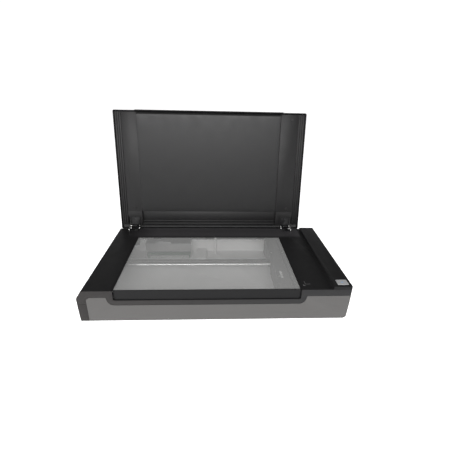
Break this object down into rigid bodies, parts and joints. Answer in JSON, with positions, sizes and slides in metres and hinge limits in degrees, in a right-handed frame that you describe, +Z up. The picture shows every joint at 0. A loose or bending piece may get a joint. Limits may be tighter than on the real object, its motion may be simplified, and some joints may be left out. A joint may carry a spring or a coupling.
{
  "type": "flatbed document scanner",
  "caption": "Large-format flatbed document scanner with a hinged lid standing open, a glass bed, a belt-driven scan carriage on a steel rod and a raised console with a start button.",
  "frame": {"origin": "centre of the case's footprint, on the plane that the feet stand on", "axes": "+X to the operator's right along the long side, +Y to the rear where the lid is hinged, +Z up"},
  "size_m": [0.684, 0.4415, 0.4801],
  "materials": {
    "upper_charcoal": "fine moulded texture, satin",
    "lower_grey": "fine moulded texture, matt",
    "end_charcoal": "fine moulded texture, matt",
    "trim_black": "satin gloss",
    "clear_glass": "polished",
    "white_plastic": "matt",
    "foot_rubber": "matt",
    "zinc_steel": "zinc plated",
    "black_steel": "black oxide",
    "polished_rod": "ground and polished",
    "black_plastic": "matt",
    "silver_button": "silver lacquer",
    "blue_lens": "translucent",
    "lid_charcoal": "fine moulded texture",
    "liner_charcoal": "fine moulded texture",
    "mat_black": "matt sheet",
    "foam_grey": "open-cell foam",
    "inner_grey": "matt",
    "belt_rubber": "matt",
    "bronze": "sintered bronze",
    "motor_steel": "plated can",
    "board_green": "solder mask",
    "lamp_glass": "frosted",
    "mirror_glass": "front silvered",
    "cable_white": "flat cable jacket",
    "print_grey": "printed ink"
  },
  "bodies": {
    "base": {"lower_case": "lower_grey", "left_end_cap": "end_charcoal", "upper_case": "upper_charcoal", "front_trim_strip": "trim_black", "platen_glass": "clear_glass", "calibration_strip": "white_plastic", "glass_clips": "black_plastic", "rubber_feet": "foot_rubber", "case_screws": "zinc_steel", "console_cover": "upper_charcoal", "button_board": "board_green", "tact_switch": "black_plastic", "hinge_socket_left": "black_plastic", "hinge_socket_right": "black_plastic", "guide_rod": "polished_rod", "rod_mounts": "inner_grey", "slide_rail": "inner_grey", "timing_belt": "belt_rubber", "stepper_motor": "motor_steel", "motor_bracket": "zinc_steel", "idler_bracket": "inner_grey", "idler_axle": "zinc_steel", "tension_spring": "zinc_steel", "main_board": "board_green", "board_shield": "motor_steel", "usb_socket": "zinc_steel", "power_socket": "black_plastic", "flat_cable": "cable_white", "cable_clamp": "inner_grey", "clamp_screws": "zinc_steel"},
    "hinge_lift": {"hinge_post_left": "black_plastic", "hinge_arm_left": "zinc_steel", "hinge_pin_left": "zinc_steel", "hinge_post_right": "black_plastic", "hinge_arm_right": "zinc_steel", "hinge_pin_right": "zinc_steel"},
    "lid": {"hinge_leaf_left": "black_plastic", "hinge_leaf_right": "black_plastic", "lid_shell": "lid_charcoal", "lid_liner": "liner_charcoal", "backing_foam": "foam_grey", "backing_mat": "mat_black", "lid_rear_panel": "lid_charcoal", "lid_bumpers": "liner_charcoal", "lid_screws": "black_steel"},
    "button": {"button_cap": "silver_button", "button_lens": "blue_lens"},
    "carriage": {"carriage_housing": "lower_grey", "carriage_cover": "lower_grey", "rod_bushings": "bronze", "belt_clamp": "black_plastic", "front_slider": "white_plastic", "carriage_screws": "zinc_steel", "lamp_tubes": "lamp_glass", "scan_mirrors": "mirror_glass", "lens_barrel": "black_plastic", "sensor_board": "board_green"},
    "drive_wheel": {"motor_pulley": "zinc_steel"},
    "idler_wheel": {"idler_pulley": "white_plastic"},
    "lock": {"transport_lock": "black_plastic"}
  },
  "joints": [
    {"name": "lid_lift", "type": "slide", "parent": "base", "child": "hinge_lift", "axis": [0, 0, 1], "range_m": [0, 0.02]},
    {"name": "lid_swing", "type": "hinge", "parent": "hinge_lift", "child": "lid", "pos_m": [0, 0.194, 0.0995], "axis": [1, 0, 0], "range_deg": [0, 97.6]},
    {"name": "button_press", "type": "slide", "parent": "base", "child": "button", "axis": [0, 0, -1], "range_m": [0, 0.0012], "stiffness_N_per_m": 400, "springref_m": -0.0008},
    {"name": "carriage_scan", "type": "slide", "parent": "base", "child": "carriage", "axis": [-1, 0, 0], "range_m": [0, 0.45]},
    {"name": "drive_spin", "type": "hinge", "parent": "base", "child": "drive_wheel", "pos_m": [0.3, 0.014, 0.06], "axis": [0, 0, -1], "range_deg": [0, 4000]},
    {"name": "idler_spin", "type": "hinge", "parent": "base", "child": "idler_wheel", "pos_m": [-0.318, 0.014, 0.06], "axis": [0, 0, -1], "range_deg": [0, 4000]},
    {"name": "lock_slide", "type": "slide", "parent": "base", "child": "lock", "axis": [0, 1, 0], "range_m": [0, 0.016]}
  ],
  "couplings": [
    {"joint": "drive_spin", "follows": "carriage_scan", "rad_per_m": 151.52},
    {"joint": "idler_spin", "follows": "carriage_scan", "rad_per_m": 151.52}
  ]
}
